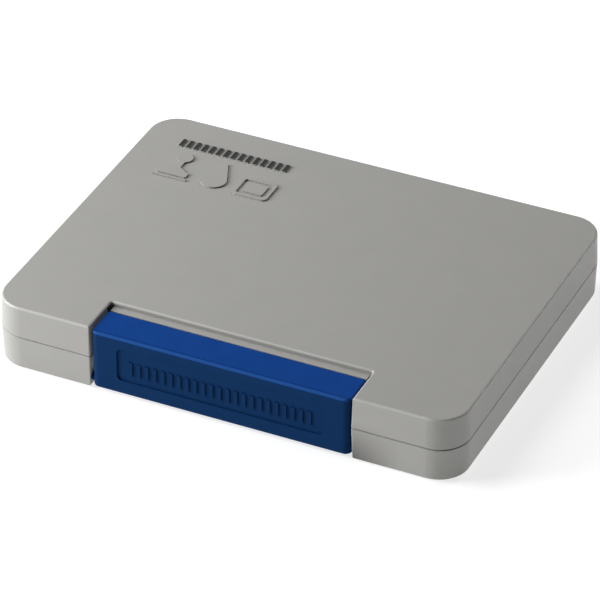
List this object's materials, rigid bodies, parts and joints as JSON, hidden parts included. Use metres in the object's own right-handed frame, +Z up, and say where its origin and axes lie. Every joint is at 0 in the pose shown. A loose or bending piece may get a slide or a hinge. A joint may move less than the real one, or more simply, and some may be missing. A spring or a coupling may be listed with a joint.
{
  "type": "ink pad",
  "caption": "Flat hinged desk ink pad: a pale grey plastic case with rounded corners, a blue front latch lever, and a cloth-covered blue ink pad inside.",
  "frame": {"origin": "on the table under the middle of the object's box, hinge knuckles included", "axes": "+X to the right seen from the latch, +Y from the latch to the hinge, +Z up"},
  "size_m": [0.138, 0.1092, 0.0206],
  "materials": {
    "case_plastic": "finely textured pale grey ABS",
    "latch_plastic": "satin blue ABS",
    "pin_steel": "drawn wire",
    "tray_plastic": "off-white polypropylene",
    "ink_felt": "felt soaked in blue ink",
    "ink_foam": "open-cell foam soaked in blue ink",
    "ink_cloth": "plain-woven cloth, damp with blue ink",
    "bezel_plastic": "white styrene",
    "gasket_rubber": "soft grey elastomer",
    "foot_rubber": "matt dark grey rubber",
    "label_paper": "blank coated paper"
  },
  "bodies": {
    "base": {"base_shell": "case_plastic", "hinge_pin_left": "pin_steel", "hinge_pin_right": "pin_steel", "pad_tray": "tray_plastic", "felt_reservoir": "ink_felt", "foam_layer": "ink_foam", "pad_cloth": "ink_cloth", "pad_frame": "bezel_plastic", "bottom_label": "label_paper", "foot_front_left": "foot_rubber", "foot_front_right": "foot_rubber", "foot_back_left": "foot_rubber", "foot_back_right": "foot_rubber"},
    "lid": {"lid_shell": "case_plastic", "lid_liner": "tray_plastic", "lid_gasket": "gasket_rubber"},
    "latch": {"latch_lever": "latch_plastic"}
  },
  "joints": [
    {"name": "lid_hinge", "type": "hinge", "parent": "base", "child": "lid", "pos_m": [0, 0.0526, 0.0105], "axis": [-1, 0, 0], "range_deg": [0, 180]},
    {"name": "latch_pivot", "type": "hinge", "parent": "base", "child": "latch", "pos_m": [0, -0.0526, 0.00325], "axis": [1, 0, 0], "range_deg": [0, 25]}
  ]
}
